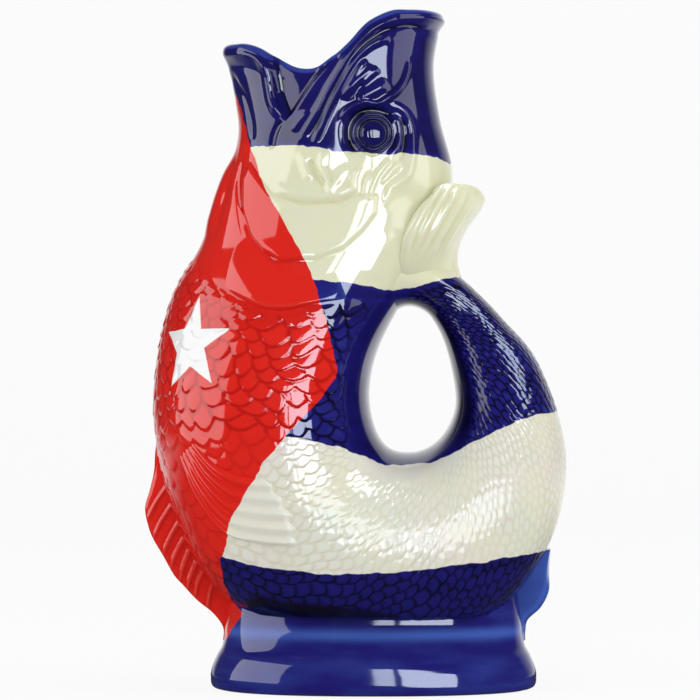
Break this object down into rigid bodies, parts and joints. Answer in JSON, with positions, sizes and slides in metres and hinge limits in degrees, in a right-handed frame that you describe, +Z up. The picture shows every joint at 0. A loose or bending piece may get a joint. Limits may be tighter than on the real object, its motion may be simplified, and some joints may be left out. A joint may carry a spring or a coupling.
{
  "type": "gurgle jug",
  "caption": "Ceramic pouring jug shaped as an upright fish on an oval foot; the open mouth pours and the hollow curled tail is the handle that traps air and gurgles.",
  "frame": {"origin": "centre of the jug's length and width, on the table that the foot stands on", "axes": "+Z up, +X from the spout towards the tail, +Y across the fish to its right side"},
  "size_m": [0.1749, 0.1196, 0.2804],
  "materials": {
    "cobalt_glaze": "gloss cobalt blue glaze on earthenware",
    "white_glaze": "gloss pearl white glaze on earthenware",
    "red_glaze": "gloss red glaze on earthenware"
  },
  "bodies": {
    "root": {"foot": "cobalt_glaze", "body": "white_glaze", "head": "cobalt_glaze", "tail": "cobalt_glaze", "tail_fin": "white_glaze", "front_fin": "red_glaze", "rear_fin": "cobalt_glaze", "left_side_fin": "white_glaze", "right_side_fin": "white_glaze", "left_gill_cover": "white_glaze", "right_gill_cover": "white_glaze", "left_eye": "cobalt_glaze", "right_eye": "cobalt_glaze"}
  },
  "joints": []
}
